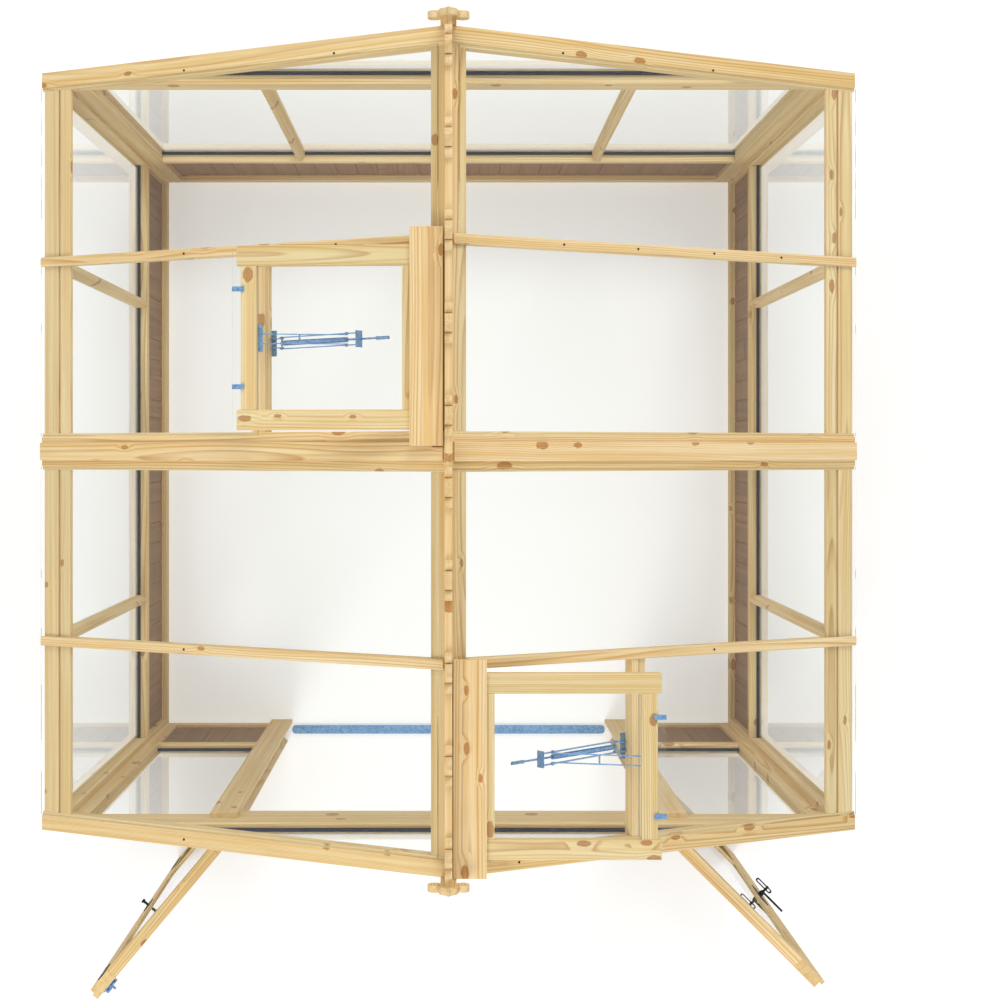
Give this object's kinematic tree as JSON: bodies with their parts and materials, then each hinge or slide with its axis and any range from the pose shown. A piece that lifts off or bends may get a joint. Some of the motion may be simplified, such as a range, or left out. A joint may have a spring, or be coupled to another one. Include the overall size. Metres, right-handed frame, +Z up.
{
  "type": "wooden greenhouse",
  "caption": "Wooden greenhouse with boarded base, glazed walls and gable roof, hinged roof vents on wax openers, outward doors and a fretted ridge board with finials",
  "frame": {"origin": "centre of the whole part's box on the floor, with the doors and vents open as at rest", "axes": "+X to the right seen from the doors, +Y along the ridge to the rear, +Z up"},
  "size_m": [2.6884, 3.105, 2.6923],
  "materials": {
    "frame_timber": "planed and oiled fir with knots",
    "board_timber": "oiled fir boards with knots",
    "weather_timber": "planed fir on the roof, slightly bleached",
    "glass": "clear float glass",
    "seal": "dark blue-black rubber strip",
    "zinc": "galvanised steel, bluish and mottled",
    "black_iron": "satin black"
  },
  "bodies": {
    "root": {"sole_rails": "frame_timber", "dado_rails": "frame_timber", "corner_stiles": "frame_timber", "middle_stiles": "frame_timber", "wall_mullions": "frame_timber", "tie_beams": "frame_timber", "side_plates": "frame_timber", "front_head_rails": "frame_timber", "door_jambs": "frame_timber", "base_boards": "board_timber", "wall_panes": "glass", "pane_seals": "seal", "glazing_beads": "frame_timber", "gable_posts": "frame_timber", "barge_rafters": "frame_timber", "centre_rafters": "frame_timber", "ridge_rails": "frame_timber", "eave_rails": "frame_timber", "glazing_bars": "frame_timber", "cover_strips": "weather_timber", "vent_trimmers": "frame_timber", "roof_panes": "glass", "ridge_board": "weather_timber", "finials": "weather_timber", "roof_screws": "black_iron", "threshold_strip": "zinc", "vent_hinges": "zinc", "opener_brackets": "zinc", "door_hinges_fixed": "zinc"},
    "left_door": {"left_door_frame": "frame_timber", "left_door_boards": "board_timber", "left_door_pane": "glass", "left_door_seal": "seal", "left_door_beads": "frame_timber", "left_door_straps": "zinc", "left_door_fittings": "black_iron"},
    "left_door_bolt": {"left_door_bolt": "zinc"},
    "left_door_foot_bolt": {"left_door_foot_bolt": "zinc"},
    "right_door": {"right_door_frame": "frame_timber", "right_door_boards": "board_timber", "right_door_pane": "glass", "right_door_seal": "seal", "right_door_beads": "frame_timber", "right_door_straps": "zinc", "right_door_fittings": "black_iron"},
    "right_door_lever": {"right_door_lever": "black_iron"},
    "left_vent": {"left_vent_frame": "frame_timber", "left_vent_pane": "glass", "left_vent_head_board": "weather_timber", "left_vent_fittings": "zinc"},
    "left_opener_frame": {"left_opener_frame": "zinc", "left_opener_rod": "zinc"},
    "left_opener_arms": {"left_opener_arms": "zinc"},
    "right_vent": {"right_vent_frame": "frame_timber", "right_vent_pane": "glass", "right_vent_head_board": "weather_timber", "right_vent_fittings": "zinc"},
    "right_opener_frame": {"right_opener_frame": "zinc", "right_opener_rod": "zinc"},
    "right_opener_arms": {"right_opener_arms": "zinc"}
  },
  "joints": [
    {"name": "left_door_swing", "type": "hinge", "parent": "root", "child": "left_door", "pos_m": [-0.738, -0.96248, 0.9], "axis": [0, 0, 1], "range_deg": [-20, 130]},
    {"name": "right_door_swing", "type": "hinge", "parent": "root", "child": "right_door", "pos_m": [0.738, -0.96248, 0.9], "axis": [0, 0, 1], "range_deg": [-135, 20]},
    {"name": "left_bolt_slide", "type": "slide", "parent": "left_door", "child": "left_door_bolt", "axis": [0, 0, 1], "range_m": [0, 0.018]},
    {"name": "left_foot_bolt_slide", "type": "slide", "parent": "left_door", "child": "left_door_foot_bolt", "axis": [0, 0, 1], "range_m": [-0.015, 0]},
    {"name": "right_lever_turn", "type": "hinge", "parent": "right_door", "child": "right_door_lever", "pos_m": [1.216, -1.44048, 0.9], "axis": [-0.7071, -0.7071, 0], "range_deg": [-40, 40], "stiffness_Nm_per_rad": 1.2},
    {"name": "left_vent_swing", "type": "hinge", "parent": "root", "child": "left_vent", "pos_m": [-0.05375, 0.62102, 2.50857], "axis": [0, 1, 0], "range_deg": [-21.3, 3.7]},
    {"name": "left_opener_turn", "type": "hinge", "parent": "root", "child": "left_opener_frame", "pos_m": [-0.51419, 0.62102, 2.25138], "axis": [0, 1, 0], "range_deg": [-2.5, 11.5]},
    {"name": "left_opener_arm_turn", "type": "hinge", "parent": "left_vent", "child": "left_opener_arms", "pos_m": [-0.58157, 0.62102, 2.4579], "axis": [0, 1, 0], "range_deg": [-10.5, 2.5]},
    {"name": "right_vent_swing", "type": "hinge", "parent": "root", "child": "right_vent", "pos_m": [0.05375, -0.62548, 2.50857], "axis": [0, -1, 0], "range_deg": [-25, 0]},
    {"name": "right_opener_turn", "type": "hinge", "parent": "root", "child": "right_opener_frame", "pos_m": [0.51419, -0.62548, 2.25138], "axis": [0, -1, 0], "range_deg": [-1, 13]},
    {"name": "right_opener_arm_turn", "type": "hinge", "parent": "right_vent", "child": "right_opener_arms", "pos_m": [0.58374, -0.62548, 2.49207], "axis": [0, -1, 0], "range_deg": [-13, 1]}
  ],
  "couplings": [
    {"joint": "left_opener_turn", "follows": "left_vent_swing", "ratio": -0.5},
    {"joint": "left_opener_arm_turn", "follows": "left_vent_swing", "ratio": 0.46},
    {"joint": "right_opener_turn", "follows": "right_vent_swing", "ratio": -0.5},
    {"joint": "right_opener_arm_turn", "follows": "right_vent_swing", "ratio": 0.48}
  ]
}
